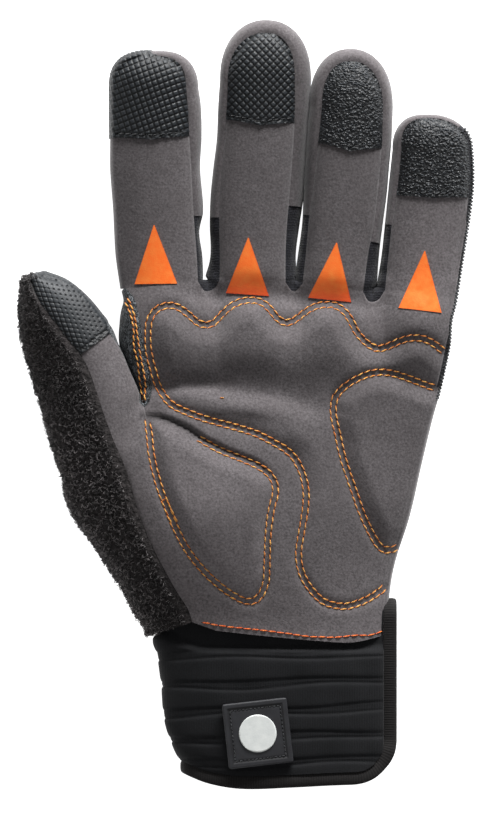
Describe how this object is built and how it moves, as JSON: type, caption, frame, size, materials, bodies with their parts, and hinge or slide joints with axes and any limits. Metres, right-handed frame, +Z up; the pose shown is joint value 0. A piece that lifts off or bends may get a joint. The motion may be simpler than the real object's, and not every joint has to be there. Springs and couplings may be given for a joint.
{
  "type": "work glove",
  "caption": "Left-hand padded work glove with a suede palm, quilted pads, textured fingertips, a terry thumb back and a ribbed cuff, lying palm up.",
  "frame": {"origin": "under the middle of the glove, on the surface that it lies on", "axes": "+Z up out of the palm, +Y to the fingertips, +X to the little finger"},
  "size_m": [0.1498, 0.2537, 0.031],
  "materials": {
    "suede": "brushed synthetic suede, matte with a fine nap",
    "black_knit": "fine matte knit",
    "diamond_grip": "embossed diamond grip, semi-gloss",
    "pebbled_leather": "pebble-grain synthetic leather, semi-gloss",
    "terry": "looped terry, matte",
    "neoprene": "smooth knit-faced neoprene",
    "binding_tape": "grosgrain tape with fine cross ribs",
    "orange_print": "flat printed film",
    "label_rubber": "moulded rubber, satin",
    "label_white": "off-white moulded rubber, satin"
  },
  "bodies": {
    "root": {"palm_panel": "suede", "back_panel": "black_knit", "index_fourchette": "suede", "middle_fourchette": "suede", "ring_fourchette": "suede", "little_fourchette": "suede", "crotch_gusset_index_middle": "black_knit", "crotch_gusset_middle_ring": "black_knit", "crotch_gusset_ring_little": "black_knit", "index_tip_patch": "diamond_grip", "middle_tip_patch": "diamond_grip", "thumb_tip_patch": "diamond_grip", "ring_tip_patch": "pebbled_leather", "little_tip_patch": "pebbled_leather", "index_triangle": "orange_print", "middle_triangle": "orange_print", "ring_triangle": "orange_print", "little_triangle": "orange_print", "thumb_saddle": "pebbled_leather", "thumb_back": "terry", "cuff": "neoprene", "cuff_binding": "binding_tape", "label_patch": "label_rubber", "label_disc": "label_white"}
  },
  "joints": []
}
